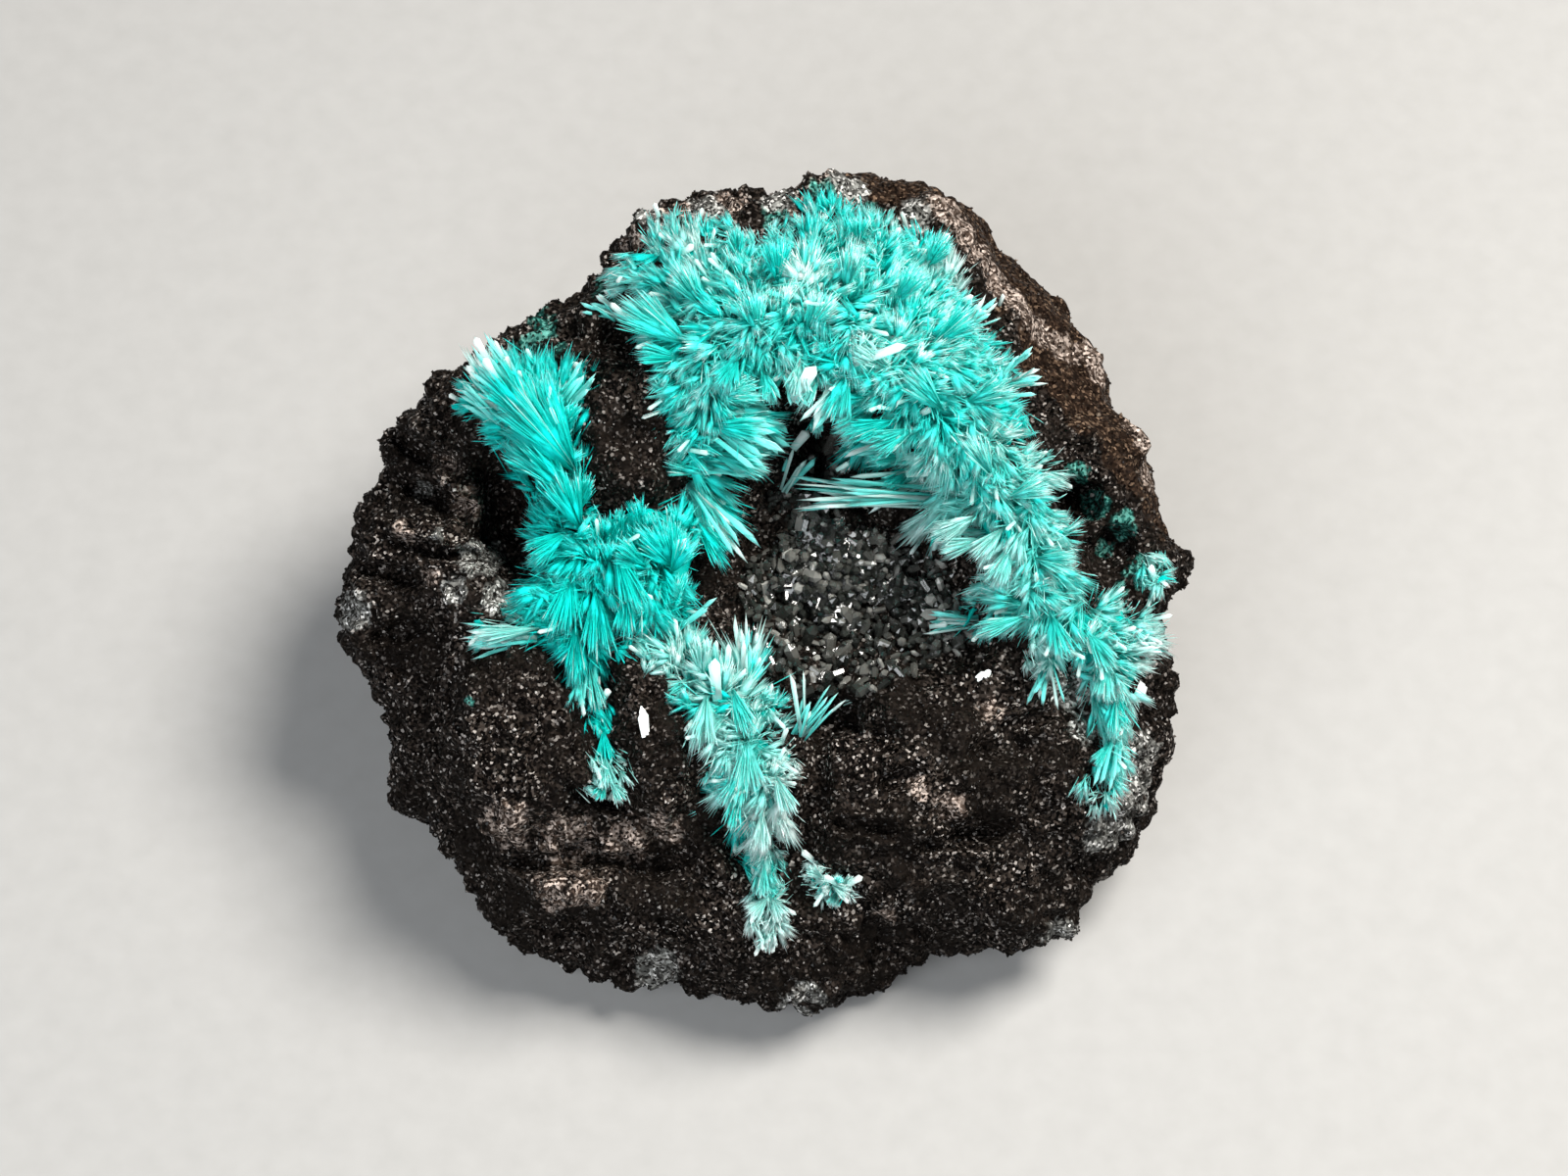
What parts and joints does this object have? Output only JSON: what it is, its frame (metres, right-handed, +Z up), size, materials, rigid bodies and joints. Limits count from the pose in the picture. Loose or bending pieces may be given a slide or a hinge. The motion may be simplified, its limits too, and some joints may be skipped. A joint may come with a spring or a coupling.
{
  "type": "aurichalcite mineral specimen on gossan",
  "caption": "Rounded chip of dark granular gossan with feathery turquoise crusts of aurichalcite on its broken face, around a small cavity lined with grey druse.",
  "frame": {"origin": "on the flat underside that the rock rests on, under the middle of its broken face", "axes": "+Z up; the broken face with the crystals looks up and towards -Y, leaning 30 degrees back from level; +X to the right of someone who looks at that face"},
  "size_m": [0.0449, 0.0418, 0.0304],
  "materials": {
    "gossan": "granular black-brown iron oxide with glinting grains, brown and weathered on the upper right side",
    "aurichalcite": "silky turquoise needles and laths in fans, paler to white at the tips",
    "druse": "small glassy grey crystals",
    "pale_crystal": "glassy white"
  },
  "bodies": {
    "root": {"gossan_matrix": "gossan", "aurichalcite_upper_crust": "aurichalcite", "aurichalcite_right_arm": "aurichalcite", "aurichalcite_left_fan": "aurichalcite", "aurichalcite_centre_fork": "aurichalcite", "aurichalcite_lower_vein": "aurichalcite", "aurichalcite_small_spray": "aurichalcite", "aurichalcite_low_patch": "aurichalcite", "aurichalcite_seam_patch": "aurichalcite", "aurichalcite_rim_tuft": "aurichalcite", "cavity_druse": "druse", "pale_blade_on_block": "pale_crystal", "pale_blade_on_right": "pale_crystal", "pale_block_on_rim": "pale_crystal"}
  },
  "joints": []
}
